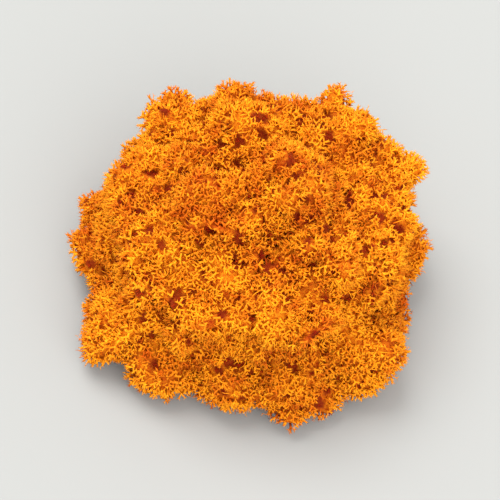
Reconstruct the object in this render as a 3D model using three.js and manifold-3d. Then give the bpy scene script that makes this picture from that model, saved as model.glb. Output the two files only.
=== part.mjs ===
// A clump of reindeer moss: a low cushion of rounded lichen heads.
// Each tuft is one piece: a knobbly head on a stalk, and the stalks spread like a fan
// from a common spot just under the ground. Millimetres, +Z up, resting on z = 0.
import * as THREE from 'three';
import { mergeVertices } from 'three/addons/utils/BufferGeometryUtils.js';
import Module from 'manifold-3d';

const wasm = await Module();
wasm.setup();

// Sizes that drive the shape
const ROOT_DEPTH = 20; // how far under the ground the stalks would meet
const GAP = 0.3; // air between two tufts that press against each other
const SIDE_SWELL = 0.42; // how much wider than its stated radius a head may grow, to meet its neighbours
const TAIL_SWELL = 0.25; // how much further it reaches down its stalk
const HEAD_DETAIL = 3; // subdivision of the head's ball
const KNOBS = 13; // knobs spread over each head
const KNOB_TURN = 1.9; // radians that the knobs are turned by from one head to the next
const KNOB_HALF_ANGLE = 0.52; // radians, half the width of a knob seen from the head's middle
const VALLEY_DEPTH = 0.2; // depth of the valleys between knobs, as a share of the radius
const STALK_FILL = 0.8; // share of the room between its neighbours that a stalk takes
const STALK_SIDES = 10;
const STALK_RIBS = 5; // stems that show as ribs down a stalk
const RIB_DEPTH = 0.14; // depth of the grooves between ribs, as a share of the radius
const STALK_BELOW = 4; // length of stalk trimmed off under the ground
const GROUND_SLAB = 120; // side of the block that trims everything flat at the ground
const WELD = 1e-4; // corners closer than this are one corner
const HUES = [0.075, 0.083, 0.091, 0.099]; // orange to yellow-orange, in turn
const SATURATION = 0.95;
const LIGHTNESS = 0.5;
const ROUGHNESS = 0.85;

// Each tuft: the middle of its head from the middle of the clump at ground level, and its radius
const TUFTS = [
  { name: 'tuft_top', x: 5, y: -1, z: 35, radius: 9 },
  { name: 'tuft_top_left', x: -8, y: -9, z: 32, radius: 9 },
  { name: 'tuft_top_back_left', x: -7, y: 15, z: 31, radius: 9 },
  { name: 'tuft_top_back_right', x: 11, y: 18, z: 29, radius: 9.5 },
  { name: 'tuft_top_right', x: 14, y: -11, z: 30, radius: 8 },
  { name: 'tuft_upper_back_left', x: -21, y: 16, z: 23, radius: 9.5 },
  { name: 'tuft_upper_left', x: -23, y: 2, z: 23, radius: 9.5 },
  { name: 'tuft_upper_front_left', x: -20, y: -12, z: 24, radius: 8 },
  { name: 'tuft_upper_front', x: -6, y: -23, z: 22, radius: 9.5 },
  { name: 'tuft_upper_front_right', x: 10, y: -22, z: 22, radius: 9.5 },
  { name: 'tuft_upper_right', x: 26, y: 2, z: 22, radius: 9 },
  { name: 'tuft_upper_back_right', x: 25, y: 15, z: 21, radius: 9.5 },
  { name: 'tuft_low_front_left', x: -22, y: -20, z: 9, radius: 9.5 },
  { name: 'tuft_low_front_mid_left', x: -11, y: -26, z: 7, radius: 8.5 },
  { name: 'tuft_low_front', x: 1, y: -27, z: 7, radius: 8 },
  { name: 'tuft_low_front_mid_right', x: 13, y: -26, z: 7, radius: 8.5 },
  { name: 'tuft_low_front_right', x: 24, y: -18, z: 9, radius: 9.5 },
  { name: 'tuft_low_right_front', x: 27, y: -6, z: 10, radius: 8.5 },
  { name: 'tuft_low_right_back', x: 27, y: 8, z: 8, radius: 8.5 },
  { name: 'tuft_low_left_front', x: -27, y: -7, z: 9, radius: 8.5 },
  { name: 'tuft_low_left_back', x: -27, y: 6, z: 9, radius: 8.5 },
  { name: 'tuft_low_back_left', x: -22, y: 19, z: 8, radius: 9 },
  { name: 'tuft_low_back_mid_left', x: -9, y: 25, z: 12, radius: 9 },
  { name: 'tuft_low_back', x: 6, y: 26, z: 12, radius: 8.5 },
  { name: 'tuft_low_back_right', x: 19, y: 23, z: 8, radius: 9 },
];

const ROOT = new THREE.Vector3(0, 0, -ROOT_DEPTH);
const UP = new THREE.Vector3(0, 1, 0);

// Where a tuft stands seen from the root point: its direction, how far off, how wide it looks
for (const tuft of TUFTS) {
  tuft.centre = new THREE.Vector3(tuft.x, tuft.y, tuft.z);
  tuft.axis = tuft.centre.clone().sub(ROOT);
  tuft.reach = tuft.axis.length();
  tuft.axis.normalize();
  tuft.halfWidth = Math.asin(tuft.radius / tuft.reach);
}

// The face where two neighbours press together lies in a plane through the root point.
// Returns the plane's normal, pointing away from the first tuft.
function pressNormal(tuft, other) {
  const mine = tuft.axis.clone().divideScalar(Math.cos(tuft.halfWidth));
  const theirs = other.axis.clone().divideScalar(Math.cos(other.halfWidth));
  return theirs.sub(mine).normalize();
}

// A closed three.js geometry as a solid that can be joined and cut
function solid(geometry) {
  const bare = geometry.clone();
  bare.deleteAttribute('normal');
  bare.deleteAttribute('uv');
  const merged = mergeVertices(bare, WELD);
  const vertProperties = new Float32Array(merged.attributes.position.array);
  const triVerts = new Uint32Array(merged.index.array);
  return new wasm.Manifold(new wasm.Mesh({ numProp: 3, vertProperties, triVerts }));
}

function geometryOf(shape) {
  const mesh = shape.getMesh();
  const geometry = new THREE.BufferGeometry();
  geometry.setAttribute('position', new THREE.BufferAttribute(new Float32Array(mesh.vertProperties), 3));
  geometry.setIndex(new THREE.BufferAttribute(new Uint32Array(mesh.triVerts), 1));
  return geometry;
}

// Directions spread evenly over a ball, turned by a different amount for each tuft
function knobDirections(turn) {
  const goldenAngle = Math.PI * (3 - Math.sqrt(5));
  const directions = [];
  for (let k = 0; k < KNOBS; k++) {
    const height = 1 - (2 * (k + 0.5)) / KNOBS;
    const ring = Math.sqrt(1 - height * height);
    const angle = k * goldenAngle + turn;
    directions.push(new THREE.Vector3(ring * Math.cos(angle), ring * Math.sin(angle), height));
  }
  return directions;
}

// The head: a ball with knobs, held back wherever a neighbour presses against it
function makeHead(tuft, index) {
  const knobs = knobDirections(index * KNOB_TURN);
  const walls = TUFTS.filter((other) => other !== tuft).map((other) => pressNormal(tuft, other));
  const ball = new THREE.IcosahedronGeometry(1, HEAD_DETAIL);
  const points = ball.attributes.position;
  const direction = new THREE.Vector3();
  for (let i = 0; i < points.count; i++) {
    direction.fromBufferAttribute(points, i).normalize();
    let knob = 0;
    for (const middle of knobs) {
      const off = direction.angleTo(middle) / KNOB_HALF_ANGLE;
      knob = Math.max(knob, 1 - off * off);
    }
    const outwards = direction.dot(tuft.axis);
    const sideways = 1 - outwards * outwards;
    const downwards = Math.max(0, -outwards);
    const swell = 1 + SIDE_SWELL * sideways + TAIL_SWELL * downwards;
    let length = tuft.radius * (swell - VALLEY_DEPTH * (1 - knob));
    for (const wall of walls) {
      const towards = wall.dot(direction);
      const room = -tuft.reach * wall.dot(tuft.axis) - GAP / 2;
      if (towards > 0) length = Math.min(length, room / towards);
    }
    points.setXYZ(i, direction.x * length, direction.y * length, direction.z * length);
  }
  return solid(ball).translate(tuft.centre.toArray());
}

// The stalk: a ribbed cone along the line from the root point to the head's middle
function makeStalk(tuft) {
  let roomAngle = Math.PI / 2;
  for (const other of TUFTS) {
    if (other === tuft) continue;
    const leaning = pressNormal(tuft, other).dot(tuft.axis);
    roomAngle = Math.min(roomAngle, Math.asin(-leaning));
  }
  const slope = Math.tan(roomAngle) * STALK_FILL;
  const groundReach = ROOT_DEPTH / tuft.axis.z;
  const bottom = groundReach - STALK_BELOW;
  const length = tuft.reach - bottom;
  const cone = new THREE.CylinderGeometry(tuft.reach * slope, bottom * slope, length, STALK_SIDES, 1);
  const points = cone.attributes.position;
  for (let i = 0; i < points.count; i++) {
    const angle = Math.atan2(points.getZ(i), points.getX(i));
    const rib = 1 - RIB_DEPTH * (0.5 - 0.5 * Math.cos(STALK_RIBS * angle));
    points.setXYZ(i, points.getX(i) * rib, points.getY(i), points.getZ(i) * rib);
  }
  const lean = new THREE.Quaternion().setFromUnitVectors(UP, tuft.axis);
  cone.applyQuaternion(lean);
  const middle = ROOT.clone().addScaledVector(tuft.axis, bottom + length / 2);
  return solid(cone).translate(middle.toArray());
}

// Everything under the ground is trimmed off, which leaves the flat feet that the clump rests on
const slab = new THREE.BoxGeometry(GROUND_SLAB, GROUND_SLAB, GROUND_SLAB);
const underGround = solid(slab).translate([0, 0, -GROUND_SLAB / 2]);

const pieces = TUFTS.map((tuft, index) => {
  const shape = makeHead(tuft, index).add(makeStalk(tuft)).subtract(underGround);
  return { tuft, geometry: geometryOf(shape) };
});

// The clump's own frame has its middle over the origin
const bounds = new THREE.Box3();
for (const piece of pieces) {
  piece.geometry.computeBoundingBox();
  bounds.union(piece.geometry.boundingBox);
}
const middle = bounds.getCenter(new THREE.Vector3()).setZ(0);

const clump = new THREE.Group();
clump.name = 'reindeer_moss_clump';
pieces.forEach(({ tuft, geometry }, index) => {
  geometry.translate(-tuft.x, -tuft.y, -tuft.z);
  geometry.computeVertexNormals();
  const colour = new THREE.Color().setHSL(HUES[index % HUES.length], SATURATION, LIGHTNESS);
  const lichen = new THREE.MeshStandardMaterial({ color: colour, roughness: ROUGHNESS, metalness: 0 });
  const mesh = new THREE.Mesh(geometry, lichen);
  mesh.name = tuft.name;
  mesh.position.copy(tuft.centre).sub(middle);
  clump.add(mesh);
});

export default clump;
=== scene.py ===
import math
import random

import bmesh
import bpy
import numpy as np
from mathutils import Matrix, Vector
from mathutils.bvhtree import BVHTree
from mathutils.kdtree import KDTree


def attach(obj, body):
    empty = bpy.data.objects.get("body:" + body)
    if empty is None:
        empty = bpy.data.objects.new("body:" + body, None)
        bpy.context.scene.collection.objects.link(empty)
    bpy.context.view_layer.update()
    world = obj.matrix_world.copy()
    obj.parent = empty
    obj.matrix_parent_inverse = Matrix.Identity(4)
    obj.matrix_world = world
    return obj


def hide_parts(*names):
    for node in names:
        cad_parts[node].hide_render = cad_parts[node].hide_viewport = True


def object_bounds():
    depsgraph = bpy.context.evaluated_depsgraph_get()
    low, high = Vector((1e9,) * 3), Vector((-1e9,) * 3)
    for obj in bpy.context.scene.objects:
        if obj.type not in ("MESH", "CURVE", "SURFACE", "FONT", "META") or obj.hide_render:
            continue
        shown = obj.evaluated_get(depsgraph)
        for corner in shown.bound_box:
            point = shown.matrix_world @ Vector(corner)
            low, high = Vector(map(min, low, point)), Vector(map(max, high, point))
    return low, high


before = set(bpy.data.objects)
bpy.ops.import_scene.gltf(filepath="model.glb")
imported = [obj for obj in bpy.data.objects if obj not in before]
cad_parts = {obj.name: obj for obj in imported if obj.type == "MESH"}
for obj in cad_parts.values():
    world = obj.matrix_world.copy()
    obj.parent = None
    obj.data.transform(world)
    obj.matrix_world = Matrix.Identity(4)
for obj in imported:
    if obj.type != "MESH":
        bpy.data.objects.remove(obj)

cad_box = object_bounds()

# The finest twigs of the lichen, which make up everything that shows. Each is a short hollow
# stem that forks into three and then into pointed tips, soft from the glycerine it was kept in
# and dyed right through. A few kinds are modelled here once, and planted by the thousand below.
MM = 0.001
TWIG_KINDS = [
    # mm: length and radius of the stem, lift of its fork, a branch, lift of its end, its tips
    dict(stem=0.80, radius=0.24, fork=0.12, branch=0.66, lift=0.10, tip=0.42),
    dict(stem=0.95, radius=0.22, fork=0.09, branch=0.78, lift=0.08, tip=0.50),
    dict(stem=0.65, radius=0.26, fork=0.15, branch=0.58, lift=0.13, tip=0.38),
    dict(stem=1.10, radius=0.21, fork=0.07, branch=0.84, lift=0.07, tip=0.55),
    dict(stem=0.70, radius=0.24, fork=0.17, branch=0.64, lift=0.11, tip=0.52),
]
TWIG_SIDES = 3
TWIG_WOBBLE = 0.08  # mm that the corners of a twig stray
CURL_RADIUS = 0.14  # mm, of the single strands that curl over between the twigs
CURL_STEP = 0.62  # mm, length of each of their joints
CURL_JOINTS = 3
CURL_TAPER = 0.85  # width of each joint against the one before it
CURL_BENDS = (27, 42)  # degrees at each joint, for the two kinds
FACES_UP = 0.9  # a face looks up if its normal rises more than this


def deselect_all():
    if bpy.context.object and bpy.context.object.mode != "OBJECT":
        bpy.ops.object.mode_set(mode="OBJECT")
    bpy.ops.object.select_all(action="DESELECT")


def select_faces(made, wanted):
    """In edit mode, selects only the faces for which wanted(face) is true."""
    bpy.ops.mesh.select_mode(type="FACE")
    bpy.ops.mesh.select_all(action="DESELECT")
    mesh = bmesh.from_edit_mesh(made.data)
    for face in mesh.faces:
        face.select_set(wanted(face))
    mesh.select_flush_mode()
    bmesh.update_edit_mesh(made.data)


def start_rod(sides, radius, length):
    """A thin rod standing on the origin, in edit mode, with its upper end selected."""
    deselect_all()
    bpy.ops.mesh.primitive_cylinder_add(
        vertices=sides, radius=radius, depth=length, location=(0, 0, length / 2)
    )
    rod = bpy.context.object
    bpy.ops.object.transform_apply(location=True)
    bpy.ops.object.mode_set(mode="EDIT")
    select_faces(rod, lambda face: face.normal.z > FACES_UP)
    return rod


def take_shape(made):
    """The corners and faces of a modelled object as arrays, after which the object itself goes."""
    bpy.ops.object.mode_set(mode="OBJECT")
    mesh = made.data
    corners = np.zeros(len(mesh.vertices) * 3)
    mesh.vertices.foreach_get("co", corners)
    faces = [list(face.vertices) for face in mesh.polygons]
    bpy.data.objects.remove(made)
    return corners.reshape(-1, 3), faces


def model_twig(kind, seed):
    """A stem that forks into three branches, each of which ends in three points."""
    twig = start_rod(TWIG_SIDES, kind["radius"] * MM, kind["stem"] * MM)
    bpy.ops.mesh.poke(offset=kind["fork"] * MM)
    bpy.ops.mesh.extrude_faces_move(TRANSFORM_OT_shrink_fatten={"value": kind["branch"] * MM})
    bpy.ops.mesh.poke(offset=kind["lift"] * MM)
    bpy.ops.mesh.poke(offset=kind["tip"] * MM)
    bpy.ops.mesh.select_all(action="SELECT")
    bpy.ops.transform.vertex_random(offset=TWIG_WOBBLE * MM, seed=seed)
    return take_shape(twig)


def model_curl(bend):
    """A single strand that bends over by as much at each joint, and ends in a point."""
    curl = start_rod(TWIG_SIDES, CURL_RADIUS * MM, CURL_STEP * MM)
    heading, spot = 0.0, Vector((0, 0, CURL_STEP)) * MM
    for _ in range(CURL_JOINTS):
        heading += math.radians(bend)
        step = Vector((math.sin(heading), 0, math.cos(heading))) * CURL_STEP * MM
        spot = spot + step
        bpy.ops.mesh.extrude_region_move(TRANSFORM_OT_translate={"value": step})
        bpy.ops.transform.resize(value=(CURL_TAPER,) * 3, center_override=spot)
    bpy.ops.mesh.poke(offset=CURL_STEP * MM)
    return take_shape(curl)


twigs = [model_twig(kind, seed) for seed, kind in enumerate(TWIG_KINDS)]
twigs += [model_curl(bend) for bend in CURL_BENDS]

# The older stems under the heads. They are thicker and bare, their colour darker towards the foot
# and darkened all over with painted shade, as they stand under the heads. Each tuft has a handful
# of them, cut or torn off at the foot.
STEM_KINDS = 3
STEM_SIDES = 6
STEM_JOINTS = 6  # straight lengths between its bends
STEM_THICK = 0.9  # mm, radius at the foot
STEM_TAPER = 0.93  # how much thinner each length is than the one under it
STEM_STRAY = 0.5  # mm that a stem strays sideways at each bend
STEM_STUBS = 7  # side branches that broke off short
STUB = 1.6  # mm, their length
STUB_INSET = 0.2  # how much narrower a stub starts than the face it grows from, in radii
FACES_SIDEWAYS = 0.5  # a face looks sideways if its normal rises or falls less than this
FACE_ORDER = Vector((1, 0.2, 1))  # sorts a stem's faces, which are numbered anew in each run
STEMS_PER_TUFT = 6


def model_stem(seed):
    """A crooked stem 1 unit high, which is stretched to its place later, with side stubs."""
    chance = random.Random(seed)
    length = 1 / STEM_JOINTS
    stem = start_rod(STEM_SIDES, STEM_THICK * MM, length)
    for _ in range(STEM_JOINTS - 1):
        stray = [chance.uniform(-1, 1) * STEM_STRAY * MM for _ in range(2)]
        bpy.ops.mesh.extrude_region_move(TRANSFORM_OT_translate={"value": (*stray, length)})
        bpy.ops.transform.resize(value=(STEM_TAPER, STEM_TAPER, 1))
    faces = bmesh.from_edit_mesh(stem.data).faces
    sides = [face for face in faces if abs(face.normal.z) < FACES_SIDEWAYS]
    sides.sort(key=lambda face: face.calc_center_median().dot(FACE_ORDER))
    stubs = {face.index for face in chance.sample(sides, STEM_STUBS)}
    select_faces(stem, lambda face: face.index in stubs)
    bpy.ops.mesh.inset(thickness=STEM_THICK * MM * STUB_INSET, use_individual=True)
    bpy.ops.mesh.extrude_faces_move(TRANSFORM_OT_shrink_fatten={"value": STUB * MM})
    return take_shape(stem)


stems = [model_stem(seed) for seed in range(STEM_KINDS)]

# The cushion that the heads of the tufts make together, pressed into each other while the clump
# grew. It is modelled whole, over the tufts, with the soft lobes, buds and pits of its outside,
# and then parted along the planes where the tufts press together, into one body for each.
ROOT_DEPTH = 20 * MM  # the point under the ground that the tufts spread from
HEAD_LENGTH = 17.5 * MM  # from the outermost tip of a tuft down to where its head ends
HEAD_TAPER = 0.5  # width of a head's lower end, where it narrows to its stems
HEAD_END = -0.98  # a face at a head's lower end looks this squarely at the root
CLOSED_OVER = 1.0 * MM  # half the width of the clefts that the twigs close over
DRAWN_IN = 1.3 * MM  # room for the twigs
FOOT = 0.4 * MM  # height of the flat underside over the ground
PRESSED_IN = 0.25 * MM  # how far a body is pressed past the plane where it meets the next
NEIGHBOURS = 2.5  # tufts press together if they lie within this many times their half widths
WEDGE_SIDE = 0.3  # of the block that a body's share of the cushion is cut with
WELD = 0.01 * MM  # corners closer than this are one corner
VOXEL = 0.8 * MM
MOUND = (32.6 * MM, 31.6 * MM, 22.5 * MM)  # half sizes of the mass behind the tufts
MOUND_MIDDLE = 13.5 * MM  # height of its middle over the ground
MOUND_SEGMENTS, MOUND_RINGS = 64, 32
MOUND_SQUARENESS = 2.5  # 2 would be a plain dome, more is squarer
SWELLINGS = (  # name, distance from one to the next, height
    ("lobes", 12.2 * MM, 6.4 * MM),
    ("knobs", 6.5 * MM, 4.0 * MM),
    ("buds", 3.2 * MM, 1.4 * MM),
)
SWELLING_MIDDLE = 0.33  # where between hollow and top a swelling leaves the surface as it was
SMOOTHING = 0.5  # how far each pass draws a corner in between its neighbours
# Each tuft: the middle of its head and its radius, mm
TUFTS = {
    "tuft_top": (5, -1, 35, 9),
    "tuft_top_left": (-8, -9, 32, 9),
    "tuft_top_back_left": (-7, 15, 31, 9),
    "tuft_top_back_right": (11, 18, 29, 9.5),
    "tuft_top_right": (14, -11, 30, 8),
    "tuft_upper_back_left": (-21, 16, 23, 9.5),
    "tuft_upper_left": (-23, 2, 23, 9.5),
    "tuft_upper_front_left": (-20, -12, 24, 8),
    "tuft_upper_front": (-6, -23, 22, 9.5),
    "tuft_upper_front_right": (10, -22, 22, 9.5),
    "tuft_upper_right": (26, 2, 22, 9),
    "tuft_upper_back_right": (25, 15, 21, 9.5),
    "tuft_low_front_left": (-22, -20, 9, 9.5),
    "tuft_low_front_mid_left": (-11, -26, 7, 8.5),
    "tuft_low_front": (1, -27, 7, 8),
    "tuft_low_front_mid_right": (13, -26, 7, 8.5),
    "tuft_low_front_right": (24, -18, 9, 9.5),
    "tuft_low_right_front": (27, -6, 10, 8.5),
    "tuft_low_right_back": (27, 8, 8, 8.5),
    "tuft_low_left_front": (-27, -7, 9, 8.5),
    "tuft_low_left_back": (-27, 6, 9, 8.5),
    "tuft_low_back_left": (-22, 19, 8, 9),
    "tuft_low_back_mid_left": (-9, 25, 12, 9),
    "tuft_low_back": (6, 26, 12, 8.5),
    "tuft_low_back_right": (19, 23, 8, 9),
}
ROOT_SHIFT = Vector((0.26, -0.22, 0)) * MM  # from the table's middle to the clump's
root = ROOT_SHIFT - Vector((0, 0, ROOT_DEPTH))
# Pits where old twigs broke out: right and up of the middle in the photograph, radius, depth, mm
PITS = (
    (2.4, -8.3, 1.9, 1.5),
    (-4.5, 1.0, 1.4, 3.0),
    (7.3, -12.8, 1.1, 3.0),
    (15.2, -16.8, 1.3, 3.0),
    (-31.2, -10.3, 1.4, 3.5),
    (-25.6, -13.8, 1.7, 4.0),
    (-22.3, -8.9, 1.5, 3.0),
    (-28.4, -6.1, 1.2, 3.0),
    (-2.6, 5.9, 1.1, 2.5),
    (7.1, 13.2, 1.3, 2.5),
    (-12.4, -31.6, 1.4, 3.0),
    (-12.6, -28.4, 1.1, 3.0),
    (24.5, -8.0, 1.1, 2.5),
)
PIT_MOUTH = 0.75  # radius of the part that only stunted twigs grow in, against the pit's own
CAMERA_ELEVATION = math.radians(56.5)
CAMERA_ROLL = math.radians(11)  # the photograph's own tilt
towards_camera = Vector((0, -math.cos(CAMERA_ELEVATION), math.sin(CAMERA_ELEVATION)))
level_up = Vector((0, math.sin(CAMERA_ELEVATION), math.cos(CAMERA_ELEVATION)))
picture_right = Vector((1, 0, 0)) * math.cos(CAMERA_ROLL) + level_up * math.sin(CAMERA_ROLL)
picture_up = level_up * math.cos(CAMERA_ROLL) - Vector((1, 0, 0)) * math.sin(CAMERA_ROLL)
picture_middle = (cad_box[0] + cad_box[1]) / 2


def finish_with(made, kind, **settings):
    """Adds a modifier and applies it."""
    modifier = made.modifiers.new(kind, kind)
    for key, value in settings.items():
        setattr(modifier, key, value)
    bpy.context.view_layer.objects.active = made
    bpy.ops.object.modifier_apply(modifier=modifier.name)


def cell_pattern(name, spacing):
    pattern = bpy.data.textures.new(name, "VORONOI")
    pattern.noise_scale = spacing
    pattern.noise_intensity = 1.0
    return pattern


def arrays_of(made):
    mesh = made.data
    corners = np.zeros(len(mesh.vertices) * 3)
    mesh.vertices.foreach_get("co", corners)
    normals = np.zeros(len(mesh.vertices) * 3)
    mesh.vertices.foreach_get("normal", normals)
    mesh.calc_loop_triangles()
    triangles = np.zeros(len(mesh.loop_triangles) * 3, dtype=np.int64)
    mesh.loop_triangles.foreach_get("vertices", triangles)
    return corners.reshape(-1, 3), normals.reshape(-1, 3), triangles.reshape(-1, 3)


def surface_tree(corners, triangles):
    return BVHTree.FromPolygons(corners.tolist(), triangles.tolist())


def seen_at(tree, right, up):
    """The spot on a surface that the photograph shows this many mm from the clump's middle."""
    shown = picture_middle + (right * picture_right + up * picture_up) * MM
    return tree.ray_cast(shown + towards_camera * WEDGE_SIDE, -towards_camera)[0]


def model_mound():
    """The rounded mass behind the tufts, which no cleft between two of them goes deeper than."""
    bpy.ops.mesh.primitive_uv_sphere_add(
        segments=MOUND_SEGMENTS, ring_count=MOUND_RINGS, radius=1
    )
    mound = bpy.context.object
    corners = arrays_of(mound)[0]
    level = np.linalg.norm(corners[:, :2], axis=1, keepdims=True)
    upright = np.abs(corners[:, 2:])
    size = (level**MOUND_SQUARENESS + upright**MOUND_SQUARENESS) ** (1 / MOUND_SQUARENESS)
    corners = corners / size * np.array(MOUND)
    corners[:, 2] += MOUND_MIDDLE
    mound.data.vertices.foreach_set("co", corners.ravel())
    return mound


def model_cushion():
    """The cushion, and the middle and mouth of each of its pits."""
    deselect_all()
    model_mound()
    for node in TUFTS:
        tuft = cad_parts[node].copy()
        tuft.data = tuft.data.copy()
        tuft.parent = None
        for key in list(tuft.keys()):
            del tuft[key]
        bpy.context.scene.collection.objects.link(tuft)
        tuft.select_set(True)
        bpy.context.view_layer.objects.active = tuft
    bpy.ops.object.join()
    cushion = bpy.context.object
    bpy.ops.object.mode_set(mode="EDIT")
    bpy.ops.mesh.select_all(action="SELECT")
    bpy.ops.mesh.remove_doubles(threshold=WELD)
    bpy.ops.object.mode_set(mode="OBJECT")
    finish_with(cushion, "REMESH", mode="VOXEL", voxel_size=VOXEL)
    finish_with(cushion, "DISPLACE", strength=CLOSED_OVER, mid_level=0)
    finish_with(cushion, "REMESH", mode="VOXEL", voxel_size=VOXEL)
    finish_with(cushion, "SMOOTH", factor=SMOOTHING, iterations=4)
    finish_with(cushion, "DISPLACE", strength=-CLOSED_OVER - DRAWN_IN, mid_level=0)
    finish_with(cushion, "REMESH", mode="VOXEL", voxel_size=VOXEL)
    finish_with(cushion, "SMOOTH", factor=SMOOTHING, iterations=4)
    for name, spacing, height in SWELLINGS:
        finish_with(
            cushion,
            "DISPLACE",
            texture=cell_pattern(name, spacing),
            texture_coords="GLOBAL",
            strength=-height,
            mid_level=SWELLING_MIDDLE,
        )
    corners, _, triangles = arrays_of(cushion)
    tree = surface_tree(corners, triangles)
    inwards = np.array(root) - corners
    inwards /= np.linalg.norm(inwards, axis=1, keepdims=True)
    mouths = []
    for right, up, radius, depth in PITS:
        pit = seen_at(tree, right, up)
        if pit:
            distance = np.linalg.norm(corners - np.array(pit), axis=1)
            pushed = depth * MM * np.exp(-((distance / (radius * MM)) ** 2))
            corners += inwards * pushed[:, None]
            mouths.append((np.array(pit), radius * MM * PIT_MOUTH))
    cushion.data.vertices.foreach_set("co", corners.ravel())
    finish_with(cushion, "SMOOTH", factor=SMOOTHING, iterations=1)
    return cushion, mouths


def cut_off(spot, away):
    """Cuts off and closes what lies past a plane through spot, on the side that away points to."""
    bpy.ops.mesh.select_all(action="SELECT")
    bpy.ops.mesh.bisect(plane_co=spot, plane_no=away, use_fill=True, clear_outer=True)


def seen_from_root(node):
    """Which way a tuft lies from the root, how far its tip, and half the angle that it fills."""
    x, y, z, radius = TUFTS[node]
    middle = Vector((x, y, z + ROOT_DEPTH / MM)) * MM
    width = math.asin(radius * MM / middle.length)
    return middle.normalized(), middle.length + radius * MM, width


def model_inside(node, cushion):
    """The inside of a tuft's head, its axis, and how far its tip lies from the root."""
    axis, reach, width = seen_from_root(node)
    neck = root + axis * (reach - HEAD_LENGTH)
    deselect_all()
    bpy.ops.mesh.primitive_cube_add(size=WEDGE_SIDE, location=root)
    inside = bpy.context.object
    bpy.ops.object.transform_apply(location=True)
    bpy.ops.object.mode_set(mode="EDIT")
    cut_off(neck, -axis)
    cut_off(Vector((0, 0, FOOT)), Vector((0, 0, -1)))
    for other in TUFTS:
        its_axis, _, its_width = seen_from_root(other)
        if other == node or axis.angle(its_axis) > NEIGHBOURS * (width + its_width):
            continue
        away = (its_axis / math.cos(its_width) - axis / math.cos(width)).normalized()
        cut_off(root + away * PRESSED_IN, away)
    bpy.ops.object.mode_set(mode="OBJECT")
    finish_with(inside, "BOOLEAN", operation="INTERSECT", solver="MANIFOLD", object=cushion)
    bpy.ops.object.mode_set(mode="EDIT")
    select_faces(inside, lambda face: face.normal.dot(axis) < HEAD_END)
    bpy.ops.transform.resize(value=(HEAD_TAPER,) * 3, center_override=neck)
    bpy.ops.object.mode_set(mode="OBJECT")
    finish_with(inside, "REMESH", mode="VOXEL", voxel_size=VOXEL, use_smooth_shade=True)
    finish_with(inside, "SMOOTH", factor=SMOOTHING, iterations=2)
    return inside, axis, reach


cushion, pits = model_cushion()
insides = {node: model_inside(node, cushion) for node in sorted(TUFTS)}
bpy.data.objects.remove(cushion)
bodies = {node: arrays_of(made) for node, (made, _, _) in insides.items()}
starts = np.cumsum([0] + [len(corners) for corners, _, _ in bodies.values()])
whole = surface_tree(
    np.concatenate([corners for corners, _, _ in bodies.values()]),
    np.concatenate([body[2] + start for body, start in zip(bodies.values(), starts)]),
)

# How open each spot lies, which sets how densely twigs grow and how much painted shade their colour
# takes.
# Light reaches the outside of the cushion, which is painted bright, and hardly reaches the sides
# where the tufts press together, where few twigs grow and the colour is painted dark.
OPEN_RAYS = 32  # directions all round, in which a spot is tested
OPEN_REACH = 14 * MM  # how far off something still shades a spot, less and less with distance
SHADING = 0.7  # share of the light that still comes past something at that distance
CLEAR_OF = 0.4 * MM  # a ray starts this far off the surface
GRAZING = 0.15  # rays flatter to the surface than this aren't counted


def spread_directions(count):
    """Directions spread evenly all round."""
    height = 1 - 2 * (np.arange(count) + 0.5) / count
    ring = np.sqrt(1 - height**2)
    turn = np.arange(count) * math.pi * (3 - math.sqrt(5))
    return np.stack([ring * np.cos(turn), ring * np.sin(turn), height], axis=1)


ray_directions = spread_directions(OPEN_RAYS)


def openness(corners, normals):
    """How much of what each corner faces is open air, from 0 to 1."""
    facing = normals @ ray_directions.T
    weight = np.where(facing > GRAZING, facing, 0)
    free = np.zeros(len(corners))
    for i, (spot, share) in enumerate(zip(corners + normals * CLEAR_OF, weight)):
        start = Vector(spot)
        for k in np.flatnonzero(share):
            direction = ray_directions[k]
            distance = whole.ray_cast(start, Vector(direction), OPEN_REACH)[3]
            if distance is not None:
                free[i] += share[k] * SHADING * distance / OPEN_REACH
            elif direction[2] < 0:
                free[i] += share[k] * min(1, -start.z / direction[2] / OPEN_REACH)
            else:
                free[i] += share[k]
    return free / weight.sum(axis=1)


# The dyed finish of the lichen, with painted shade. The tips are yellow-orange and lower down a
# twig is a deeper orange, partly the dye and partly painted shade of the depth among the twigs, and
# spots that lie hidden are painted red-brown as painted shade. Each tuft, and each patch of a tuft,
# took the dye a little differently. The surface is matt and very finely rough.
PATCHES_WIDE, PATCHES_SMALL = 8 * MM, 3 * MM
WIDE_COUNT = 0.8  # how much the wide patches count, against the small ones
TWIG_COUNTS = 0.14  # how much a twig's own dye counts
USUAL_DYE = 0.62  # between the weakest at 0 and the strongest at 1
# The weak end of the dye also gives the pits their painted shade
WEAK_DYE_AND_PIT_SHADE, STRONG_DYE = (0.64, 0.33, 0.36), (1.0, 1.03, 1.12)
GRAIN = 0.9 * MM
ROUGHNESS, ROUGHNESS_GRAIN = 0.8, 0.3
SPECULAR = 0.1
FUZZ = 0.22 * MM
FUZZ_HEIGHT, FUZZ_STRENGTH = 0.06 * MM, 0.5
LIT_FROM, LIT_TO = 0.24, 0.90  # openness under which the colour takes the full painted shade, and over which it takes none
STRAND = 0.85 * MM  # width of the meshes of the tangle inside a head
STRAND_BENDS = 0.8 * STRAND
STRAND_TOP, STRAND_SLOPE = 1.15, -5.5  # height of a strand's middle, and how it falls off beside it
FINE_STRAND, FINE_HEIGHT = 0.62, 0.7  # width and height of the finer strands, against the others
STRAND_SHOWS = 0.75  # share of the inside's tone that follows its strands, darker in the holes between them as painted shade of their depth
STRAND_HEIGHT = 4.0  # against the fuzz


def group_input(tree, name, value):
    socket = tree.interface.new_socket(name, in_out="INPUT", socket_type="NodeSocketFloat")
    socket.default_value = value


def link_or_set(tree, socket, value):
    if isinstance(value, (int, float)):
        socket.default_value = value
    elif isinstance(value, tuple):
        socket.default_value = (*value, 1)
    else:
        tree.links.new(value, socket)


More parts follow.
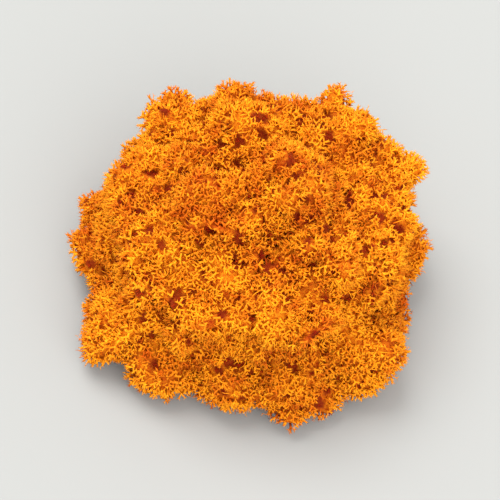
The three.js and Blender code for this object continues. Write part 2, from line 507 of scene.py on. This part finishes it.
def worked(tree, operation, *values, clamp=False):
    sum_node = tree.nodes.new("ShaderNodeMath")
    sum_node.operation = operation
    sum_node.use_clamp = clamp
    for socket, value in zip(sum_node.inputs, values):
        link_or_set(tree, socket, value)
    return sum_node.outputs[0]


def clouds(tree, size):
    """Soft cloudy patches of about that size in metres, from 0 to 1."""
    place = tree.nodes.new("ShaderNodeTexCoord")
    noise = tree.nodes.new("ShaderNodeTexNoise")
    noise.inputs["Scale"].default_value = 1 / size
    tree.links.new(place.outputs["Object"], noise.inputs["Vector"])
    return noise.outputs["Fac"]


def make_dye_group():
    """How strongly the dye shows along a twig, partly painted shade of the depth, and from one
    patch of the clump to another, which also carries the painted shade of pits.
    """
    tree = bpy.data.node_groups.new("dye_and_depth_shade", "ShaderNodeTree")
    group_input(tree, "Along", 0.5)
    group_input(tree, "Graininess", 0.3)
    group_input(tree, "Patchiness", 2.4)
    for name in ("Tone", "Patch", "Roughness", "Height"):
        tree.interface.new_socket(name, in_out="OUTPUT", socket_type="NodeSocketFloat")
    given = tree.nodes.new("NodeGroupInput").outputs
    made = tree.nodes.new("NodeGroupOutput").inputs
    dye = tree.nodes.new("ShaderNodeAttribute")
    dye.attribute_name = "dye"
    grain = worked(tree, "SUBTRACT", clouds(tree, GRAIN), 0.5)
    tone = worked(tree, "MULTIPLY_ADD", grain, given["Graininess"], given["Along"], clamp=True)
    tree.links.new(tone, made["Tone"])
    wide = worked(tree, "SUBTRACT", clouds(tree, PATCHES_WIDE), 0.5)
    small = worked(tree, "SUBTRACT", clouds(tree, PATCHES_SMALL), 0.5)
    patch = worked(tree, "MULTIPLY_ADD", wide, WIDE_COUNT, small)
    patch = worked(tree, "MULTIPLY", patch, given["Patchiness"])
    patch = worked(tree, "MULTIPLY_ADD", dye.outputs["Fac"], TWIG_COUNTS, patch)
    tree.links.new(worked(tree, "ADD", patch, USUAL_DYE, clamp=True), made["Patch"])
    roughness = worked(tree, "MULTIPLY_ADD", grain, ROUGHNESS_GRAIN, ROUGHNESS)
    tree.links.new(roughness, made["Roughness"])
    tree.links.new(clouds(tree, FUZZ), made["Height"])
    return tree


dye_and_shade_group = make_dye_group()


def attribute_value(tree, name):
    reader = tree.nodes.new("ShaderNodeAttribute")
    reader.attribute_name = name
    return reader.outputs["Fac"]


def mixed(tree, blend, amount, first, second):
    mix = tree.nodes.new("ShaderNodeMix")
    mix.data_type = "RGBA"
    mix.blend_type = blend
    for socket, value in (("Factor", amount), ("A", first), ("B", second)):
        link_or_set(tree, mix.inputs[socket], value)
    return mix.outputs["Result"]


def tangle(tree):
    """Crossing strands, from 0 in the holes between them to 1 along their tops."""
    place = tree.nodes.new("ShaderNodeTexCoord")
    bent = tree.nodes.new("ShaderNodeTexNoise")
    bent.inputs["Scale"].default_value = 1 / STRAND
    tree.links.new(place.outputs["Object"], bent.inputs["Vector"])
    shift_by = tree.nodes.new("ShaderNodeVectorMath")
    shift_by.operation = "MULTIPLY_ADD"
    tree.links.new(bent.outputs["Color"], shift_by.inputs[0])
    shift_by.inputs[1].default_value = (STRAND_BENDS,) * 3
    tree.links.new(place.outputs["Object"], shift_by.inputs[2])
    strands = []
    for size in (STRAND, STRAND * FINE_STRAND):
        cells = tree.nodes.new("ShaderNodeTexVoronoi")
        cells.feature = "DISTANCE_TO_EDGE"
        cells.inputs["Scale"].default_value = 1 / size
        tree.links.new(shift_by.outputs[0], cells.inputs["Vector"])
        off = cells.outputs["Distance"]
        strands.append(worked(tree, "MULTIPLY_ADD", off, STRAND_SLOPE, STRAND_TOP, clamp=True))
    fine = worked(tree, "MULTIPLY", strands[1], FINE_HEIGHT)
    return worked(tree, "MAXIMUM", strands[0], fine)


def dyed_and_shaded_lichen(name, stops, shade, stranded=False):
    """Lichen coloured from its depth to its tips, partly dye and partly painted shade, and darker
    with painted shade where it lies hidden.
    """
    material = bpy.data.materials.new(name)
    material.use_nodes = True
    tree = material.node_tree
    shader = tree.nodes["Principled BSDF"]
    taken = tree.nodes.new("ShaderNodeGroup")
    taken.node_tree = dye_and_shade_group
    along = attribute_value(tree, "tip")
    height = taken.outputs["Height"]
    if stranded:
        # The inside is painted darker in the holes between its strands, as painted shade of their
        # depth
        strand = tangle(tree)
        by_strand = worked(tree, "MULTIPLY", strand, STRAND_SHOWS)
        along = worked(tree, "MULTIPLY_ADD", along, 1 - STRAND_SHOWS, by_strand)
        height = worked(tree, "MULTIPLY_ADD", strand, STRAND_HEIGHT, height)
    tree.links.new(along, taken.inputs["Along"])
    colours = tree.nodes.new("ShaderNodeValToRGB")
    elements = colours.color_ramp.elements
    while len(elements) < len(stops):
        elements.new(0.5)
    for element, (place, colour) in zip(elements, stops):
        element.position = place
        element.color = (*colour, 1)
    tree.links.new(taken.outputs["Tone"], colours.inputs["Fac"])
    tint = mixed(tree, "MIX", taken.outputs["Patch"], WEAK_DYE_AND_PIT_SHADE, STRONG_DYE)
    colour = mixed(tree, "MULTIPLY", 1.0, colours.outputs["Color"], tint)
    # How much painted shade the colour takes, from the openness: all of it where hidden, none where
    # open
    hidden = tree.nodes.new("ShaderNodeMapRange")
    hidden.interpolation_type = "SMOOTHSTEP"
    tree.links.new(attribute_value(tree, "open"), hidden.inputs["Value"])
    levels = {"From Min": LIT_FROM, "From Max": LIT_TO, "To Min": 1.0, "To Max": 0.0}
    for socket, value in levels.items():
        hidden.inputs[socket].default_value = value
    darkened = mixed(tree, "MULTIPLY", hidden.outputs["Result"], colour, shade)
    tree.links.new(darkened, shader.inputs["Base Color"])
    tree.links.new(taken.outputs["Roughness"], shader.inputs["Roughness"])
    shader.inputs["Specular IOR Level"].default_value = SPECULAR
    bump = tree.nodes.new("ShaderNodeBump")
    bump.inputs["Strength"].default_value = FUZZ_STRENGTH
    bump.inputs["Distance"].default_value = FUZZ_HEIGHT
    tree.links.new(height, bump.inputs["Height"])
    tree.links.new(bump.outputs["Normal"], shader.inputs["Normal"])
    return material


# Each ramp runs from a twig's foot to its tip, its darker low end partly dye and partly painted
# shade of the depth; the colour after it is the painted shade of hidden spots
tips_dyed = dyed_and_shaded_lichen(
    "dyed_and_shaded_tips",
    [
        (0.0, (0.95, 0.28, 0.004)),
        (0.35, (1.0, 0.345, 0.006)),
        (0.7, (1.0, 0.36, 0.008)),
        (1.0, (1.0, 0.37, 0.011)),
    ],
    (0.40, 0.075, 0.05),
)
stems_dyed = dyed_and_shaded_lichen(
    "dyed_and_shaded_stems",
    [(0.0, (0.20, 0.060, 0.012)), (0.5, (0.40, 0.13, 0.014)), (1.0, (0.75, 0.22, 0.010))],
    (0.7, 0.5, 0.45),
)
inside_dyed = dyed_and_shaded_lichen(
    "dyed_and_shaded_inside",
    [(0.0, (0.58, 0.085, 0.001)), (0.45, (0.95, 0.22, 0.003)), (0.8, (1.0, 0.36, 0.006))],
    (0.24, 0.09, 0.07),
    stranded=True,
)

# The tufts. Each is one lichen, grown as one piece: a head of twigs round its tangled inside, on
# its own handful of stems. Its twigs reach in among those of the tufts beside it, which is all
# that holds the clump together.
OPEN_OVER, SHADED_OVER = 0.22, 0.06  # openness of a spot
SPACING = {"open": 0.706 * MM, "shaded": 1.0 * MM, "hidden": 3.0 * MM}  # between twigs
PIT_SPACING = 0.72 * MM
UNDER_SPACING = 0.88 * MM  # where a lobe faces the ground
FACES_DOWN = -0.35  # a spot faces the ground if its normal falls more than this
LIES_ON_GROUND = -0.5  # and has no twigs if it falls more than this, close over the ground
SPOTS_PER_SQUARE = 3.2  # spots tried in a square as wide as the spacing
SUNK = 0.3 * MM  # a twig's foot under the surface it stands on
LEAN = 0.34  # how far twigs lean at random
OUTWARD = 0.25  # how far they turn away from the root
TWIG_SIZES = (0.84, 1.28)  # smallest and largest, against their kinds
STUNTED = 0.5  # size of the twigs in a pit, against the others
IN_PIT_AIR, IN_PIT_PAINTED_SHADE = 0.25, -1.2  # share of the openness they get, and change in their dye, both as painted shade in the pit
DYE_STRAYS = 0.35  # from one twig to the next
TUFT_DYE_STRAYS = 0.8  # from one tuft to the next
NEAR_GROUND = 3 * MM  # under this height twigs turn up rather than grow into the ground
TURN_UP = 0.35  # how much they do, at the ground itself
FOOT_OPEN = 0.6  # share of its spot's openness at a twig's foot, so that its foot takes more painted shade
TIP_OPEN = 0.12  # openness that its tip gains, so that it takes less painted shade
CURLS, CURLS_IN_PITS = 0.20, 0.5  # share of single strands among the twigs
PITS_TRIED = 44  # on each head, and fewer are kept, so that none runs into another
PITS_APART = 2.0 * MM
PIT_SIZES = (0.6 * MM, 1.2 * MM)  # smallest and largest radius of the small pits between twigs
PIT_SMALLNESS = 2  # 1 would give as many large ones as small, more gives more small ones
PIT_RIM = 2.0  # twigs lean away from a pit out to this many times its radius
PIT_PUSH = 1.6  # how far they lean at its middle
PIT_DARKENS = 0.1 * MM  # how far round a pit the inside takes painted shade
NO_DISTANCE = 0.01 * MM  # a smaller distance counts as this one, to divide by
STEM_TOPS = 0.7  # how deep in the head its stems end, as a share of its length
STEM_FEET = 1.5 * MM  # how far under the ground a stem begins, before it is made flat there
STEM_TURNS = 0.2  # share of the angle between two stems that each is turned by at most
STEM_SPREAD, STEM_SPREADS = 0.10, (0.5, 1.1)  # slope off the tuft's axis, and how much it varies
STEM_DROOP = 0.2  # how much lower a stem begins, against its slope
STEM_FLARE = 1.2  # its slope at the top against that at the foot
STEM_OPEN = 0.35  # openness, which gives the stems painted shade
INSIDE_FACES = 0.22  # share of the faces of a head's inside that are kept
INSIDE_TIP = 0.5  # its place on the ramp between the darker depth end, partly painted shade, and the tip
INSIDE_OPEN, INSIDE_PIT_OPEN = 0.6, 0.1  # openness, as seen between the twigs and in a pit, which sets the inside's painted shade there
TIPS, STEMS, INSIDE = 0, 1, 2  # the order of a tuft's materials
FIRST_SEED = 100
# Patches where the dye took more or less: right and up of the middle and radius, mm, and change
PATCHES = (
    (18.1, 5.5, 4.5, -1.7),
    (18.5, -2.5, 4.0, -1.5),
    (7.1, 13.8, 4.5, -1.2),
    (-3.9, 22.7, 5.5, -0.9),
    (-25.0, -9.0, 6.0, -1.2),
    (-5.0, 3.0, 4.0, -0.7),
    (22.0, -33.0, 7.0, 2.2),
    (-23.5, 15.0, 6.0, 0.9),
    (24.0, 16.0, 7.0, 0.7),
    (-8.0, -16.0, 7.0, 0.6),
)


class Parts:
    """Gathers copies of shapes, with the values of their corners, to become one mesh."""

    def __init__(self):
        self.corners, self.loops, self.starts, self.materials = [], [], [], []
        self.values = {"tip": [], "open": [], "dye": []}
        self.count, self.loop_count = 0, 0

    def add(self, corners, faces, material, **values):
        """Copies of one shape: corners is copies x corners x 3, and each value copies x corners."""
        copies, each, _ = corners.shape
        sizes = np.array([len(face) for face in faces])
        loops = np.array([corner for face in faces for corner in face])
        starts = np.cumsum(sizes) - sizes
        number = np.arange(copies)[:, None]
        self.corners.append(corners.reshape(-1, 3))
        self.loops.append((loops + self.count + each * number).ravel())
        self.starts.append((starts + self.loop_count + len(loops) * number).ravel())
        self.materials.append(np.full(copies * len(starts), material))
        for name, value in values.items():
            self.values[name].append(np.broadcast_to(value, (copies, each)).ravel())
        self.count += copies * each
        self.loop_count += copies * len(loops)

    def build(self, name):
        """All that was gathered as one object, with nothing under the ground."""
        mesh = bpy.data.meshes.new(name)
        corners = np.concatenate(self.corners)
        corners[:, 2] = np.maximum(corners[:, 2], 0)
        loops = np.concatenate(self.loops)
        starts = np.concatenate(self.starts)
        mesh.vertices.add(len(corners))
        mesh.vertices.foreach_set("co", corners.astype(np.float32).ravel())
        mesh.loops.add(len(loops))
        mesh.loops.foreach_set("vertex_index", loops.astype(np.int32))
        mesh.polygons.add(len(starts))
        mesh.polygons.foreach_set("loop_start", starts.astype(np.int32))
        mesh.polygons.foreach_set("material_index", np.concatenate(self.materials).astype(np.int32))
        mesh.polygons.foreach_set("use_smooth", np.ones(len(starts), dtype=bool))
        mesh.update(calc_edges=True)
        for value_name, pieces in self.values.items():
            layer = mesh.attributes.new(value_name, "FLOAT", "POINT")
            layer.data.foreach_set("value", np.concatenate(pieces).astype(np.float32))
        mesh.validate()
        piece = bpy.data.objects.new(name, mesh)
        bpy.context.scene.collection.objects.link(piece)
        return piece


def strewn(corners, normals, triangles, air, chance):
    """Spots strewn over a surface, more of them where it is open, with their normals."""
    a, b, c = (corners[triangles[:, k]] for k in range(3))
    areas = np.linalg.norm(np.cross(b - a, c - a), axis=1) / 2
    spacing = spacing_at(air[triangles].mean(axis=1))
    wanted = SPOTS_PER_SQUARE * areas / spacing**2
    picked = chance.choice(len(triangles), size=int(wanted.sum()), p=wanted / wanted.sum())
    first, second = chance.random(len(picked)), chance.random(len(picked))
    fold = first + second > 1
    first[fold], second[fold] = 1 - first[fold], 1 - second[fold]
    shares = np.stack([1 - first - second, first, second], axis=1)
    spots = (corners[triangles[picked]] * shares[..., None]).sum(axis=1)
    facing = (normals[triangles[picked]] * shares[..., None]).sum(axis=1)
    return spots, normalised(facing), (air[triangles[picked]] * shares).sum(axis=1)


def normalised(vectors):
    return vectors / np.linalg.norm(vectors, axis=1, keepdims=True)


def spacing_at(air):
    spacing = np.where(air > OPEN_OVER, SPACING["open"], SPACING["shaded"])
    return np.where(air < SHADED_OVER, SPACING["hidden"], spacing)


def thinned(spots, spacings):
    """Which spots are kept, when none stands closer to another than its spacing."""
    tree = KDTree(len(spots))
    for i, spot in enumerate(spots):
        tree.insert(spot, i)
    tree.balance()
    kept = np.zeros(len(spots), dtype=bool)
    for i, (spot, spacing) in enumerate(zip(spots, spacings)):
        if spacing > 0 and not any(kept[j] for _, j, _ in tree.find_range(spot, spacing)):
            kept[i] = True
    return kept


def clear_of_holes(spots, holes):
    """Which spots lie in a hole, and which way a twig at each spot leans, away from the holes."""
    sunken = np.zeros(len(spots), dtype=bool)
    away = np.zeros((len(spots), 3))
    for middle, radius in holes:
        off = spots - middle
        distance = np.linalg.norm(off, axis=1)
        sunken |= distance < radius
        push = np.clip(1 - distance / (radius * PIT_RIM), 0, 1)
        away += off / np.maximum(distance, NO_DISTANCE)[:, None] * push[:, None] * PIT_PUSH
    away[sunken] = 0
    return sunken, away


def dye_at(spots):
    """How much the patches change the dye at each spot."""
    dye = np.zeros(len(spots))
    for middle, radius, change in dye_patches:
        dye += change * np.exp(-(((spots - middle) ** 2).sum(axis=1) / radius**2))
    return dye


def holes_of(spots, air, chance):
    """The pits that the twigs of a head keep clear of: middle and radius."""
    open_spots = np.flatnonzero(air > OPEN_OVER)
    tried = min(PITS_TRIED, len(open_spots))
    middles = spots[chance.choice(open_spots, size=tried, replace=False)]
    middles = middles[thinned(middles, np.full(len(middles), PITS_APART))]
    holes = list(pits)
    smallest, largest = PIT_SIZES
    for middle in middles:
        radius = smallest + (largest - smallest) * chance.random() ** PIT_SMALLNESS
        holes.append((middle, radius))
    return holes


def plant_twigs(parts, node, tint, chance):
    """Plants the twigs of one head, and gives its pits."""
    corners, normals, triangles = bodies[node]
    spots, facing, air = strewn(corners, normals, triangles, airs[node], chance)
    holes = holes_of(spots, air, chance)
    sunken, away = clear_of_holes(spots, holes)
    spacing = spacing_at(air)
    spacing[sunken] = PIT_SPACING
    spacing = np.where(facing[:, 2] < FACES_DOWN, np.maximum(spacing, UNDER_SPACING), spacing)
    spacing[(spots[:, 2] < 2 * FOOT) & (facing[:, 2] < LIES_ON_GROUND)] = 0
    kept = thinned(spots, spacing)
    spots, facing, air, away, sunken = (
        values[kept] for values in (spots, facing, air, away, sunken)
    )
    # In a pit the openness is cut, which gives its twigs painted shade
    air = np.where(sunken, air * IN_PIT_AIR, air)
    count = len(spots)
    outward = normalised(spots - np.array(root))
    up = normalised(facing + OUTWARD * outward + away + LEAN * chance.normal(size=(count, 3)))
    up[:, 2] = np.maximum(up[:, 2], TURN_UP * (1 - spots[:, 2] / NEAR_GROUND))
    up = normalised(up)
    side = normalised(np.cross(up, chance.normal(size=(count, 3))))
    across = np.cross(up, side)
    size = chance.uniform(*TWIG_SIZES, count) * np.where(sunken, STUNTED, 1)
    forked = chance.integers(len(TWIG_KINDS), size=count)
    curled = len(TWIG_KINDS) + chance.integers(len(CURL_BENDS), size=count)
    curls = np.where(sunken, CURLS_IN_PITS, CURLS)
    kinds = np.where(chance.random(count) < curls, curled, forked)
    # In a pit the dye is moved towards its weak end as painted shade
    dye = tint + DYE_STRAYS * chance.normal(size=count) + dye_at(spots) + sunken * IN_PIT_PAINTED_SHADE
    for k, (shape, faces) in enumerate(twigs):
        ours = kinds == k
        basis = np.stack([side[ours], across[ours], up[ours]], axis=1)
        placed = np.einsum("kvi,kij->kvj", shape[None] * size[ours][:, None, None], basis)
        placed += (spots[ours] - up[ours] * SUNK)[:, None]
        height = np.clip(shape[:, 2] / shape[:, 2].max(), 0, 1)[None]
        share = FOOT_OPEN + (1 - FOOT_OPEN) * height
        lifted = np.clip(air[ours][:, None] * share + TIP_OPEN * height, 0, 1)
        parts.add(placed, faces, TIPS, tip=height, open=lifted, dye=dye[ours][:, None])
    return holes


def plant_stems(parts, axis, reach, tint, chance):
    """Stands a handful of stems round a tuft's axis, from the ground up into its head."""
    top = reach - HEAD_LENGTH * STEM_TOPS
    ground = ROOT_DEPTH / axis.z
    side = axis.orthogonal().normalized()
    across = axis.cross(side)
    for k in range(STEMS_PER_TUFT):
        turn = 2 * math.pi * (k + chance.uniform(-STEM_TURNS, STEM_TURNS)) / STEMS_PER_TUFT
        away = side * math.cos(turn) + across * math.sin(turn)
        slope = STEM_SPREAD * chance.uniform(*STEM_SPREADS)
        bottom = (ground - STEM_FEET) / (1 + slope * STEM_DROOP)
        foot = root + axis * bottom + away * bottom * slope
        tip = root + axis * top + away * top * slope * STEM_FLARE
        shape, faces = stems[int(chance.integers(len(stems)))]
        placed = np.array(foot) + shape[:, 2:3] * np.array(tip - foot)
        placed = placed + shape[:, 0:1] * np.array(side) + shape[:, 1:2] * np.array(across)
        height = np.clip(shape[:, 2], 0, 1)
        parts.add(placed[None], faces, STEMS, tip=height, open=STEM_OPEN, dye=tint)


airs = {node: openness(corners, normals) for node, (corners, normals, _) in bodies.items()}
dye_patches = []
for right, up, radius, change in PATCHES:
    middle = seen_at(whole, right, up)
    if middle:
        dye_patches.append((np.array(middle), radius * MM, change))

for number, (node, (inside, axis, reach)) in enumerate(insides.items()):
    chance = np.random.default_rng(FIRST_SEED + number)
    tint = chance.uniform(-TUFT_DYE_STRAYS, TUFT_DYE_STRAYS)
    parts = Parts()
    holes = plant_twigs(parts, node, tint, chance)
    plant_stems(parts, axis, reach, tint, chance)
    finish_with(inside, "DECIMATE", ratio=INSIDE_FACES)
    corners, _, triangles = arrays_of(inside)
    darkened = [(middle, radius + PIT_DARKENS) for middle, radius in holes]
    sunken, _ = clear_of_holes(corners, darkened)
    # The inside round a pit takes more painted shade than elsewhere
    air = np.where(sunken, INSIDE_PIT_OPEN, INSIDE_OPEN)[None]
    parts.add(corners[None], triangles.tolist(), INSIDE, tip=INSIDE_TIP, open=air, dye=tint)
    bpy.data.objects.remove(inside)
    piece = parts.build(node + "_branches")
    for material in (tips_dyed, stems_dyed, inside_dyed):
        piece.data.materials.append(material)
    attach(piece, "root")
    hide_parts(node)

# The plain pale floor the clump rests on, soft light from above, and the camera where the
# photograph's stood, with a longer lens so that the clump fills the picture.
FLOOR_SIDE = 8.0
FLOOR_DROP = 0.02 * MM  # how far it lies under the clump, so that no faces coincide
FLOOR_COLOUR = (0.314, 0.317, 0.306)
FLOOR_ROUGHNESS = 0.9
# The surround gives more light than it shows, so that it looks as pale as the floor before it
SURROUND_LIGHT = 1.3
SURROUND_SHADE = (0.853, 0.861, 0.838)
CAMERA_DISTANCE = 0.464
CAMERA_SEES_FROM = 0.01
AIM_RIGHT, AIM_UP = -1.6, -6.6  # mm, from the middle of the clump's box to the middle of what shows
CLUMP_WIDTH = 0.075
CLUMP_ON_PICTURE = 0.76  # share of the picture's width
SENSOR = 36.0

deselect_all()
bpy.ops.mesh.primitive_plane_add(size=FLOOR_SIDE, location=(0, 0, -FLOOR_DROP))
floor = bpy.context.object
floor.name = "floor"
paper = bpy.data.materials.new("pale_floor")
paper.use_nodes = True
matt = paper.node_tree.nodes["Principled BSDF"]
matt.inputs["Base Color"].default_value = (*FLOOR_COLOUR, 1)
matt.inputs["Roughness"].default_value = FLOOR_ROUGHNESS
floor.data.materials.append(paper)


def soft_light(name, comes_from, strength, width):
    """A wide soft lamp far off, which lights everything alike."""
    light = bpy.data.lights.new(name, "SUN")
    light.energy = strength
    light.angle = math.radians(width)
    lamp = bpy.data.objects.new(name, light)
    lamp.rotation_mode = "QUATERNION"
    lamp.rotation_quaternion = Vector(comes_from).to_track_quat("Z", "Y")
    bpy.context.scene.collection.objects.link(lamp)


soft_light("key_light", comes_from=(-0.35, 0.30, 0.87), strength=2.8, width=40)
soft_light("fill_light", comes_from=(0.35, -0.70, 0.60), strength=1.8, width=60)

world = bpy.data.worlds.new("soft_surround")
world.use_nodes = True
surround = world.node_tree
lit = surround.nodes["Background"]
lit.inputs["Color"].default_value = (1, 1, 1, 1)
lit.inputs["Strength"].default_value = SURROUND_LIGHT
shown = surround.nodes.new("ShaderNodeBackground")
shown.inputs["Color"].default_value = (*SURROUND_SHADE, 1)
seen = surround.nodes.new("ShaderNodeLightPath")
by_ray = surround.nodes.new("ShaderNodeMixShader")
surround.links.new(seen.outputs["Is Camera Ray"], by_ray.inputs["Fac"])
surround.links.new(lit.outputs[0], by_ray.inputs[1])
surround.links.new(shown.outputs[0], by_ray.inputs[2])
surround.links.new(by_ray.outputs[0], surround.nodes["World Output"].inputs["Surface"])
bpy.context.scene.world = world
bpy.context.scene.view_settings.view_transform = "Standard"

camera_data = bpy.data.cameras.new("camera")
camera_data.sensor_width = SENSOR
camera_data.lens = SENSOR * CLUMP_ON_PICTURE * CAMERA_DISTANCE / CLUMP_WIDTH
camera_data.clip_start = CAMERA_SEES_FROM
camera = bpy.data.objects.new("camera", camera_data)
camera.rotation_mode = "QUATERNION"
aim = picture_middle + (AIM_RIGHT * picture_right + AIM_UP * picture_up) * MM
camera.location = aim + towards_camera * CAMERA_DISTANCE
turned = Matrix((picture_right, picture_up, towards_camera)).transposed()
camera.rotation_quaternion = turned.to_quaternion()
bpy.context.scene.collection.objects.link(camera)
bpy.context.scene.camera = camera
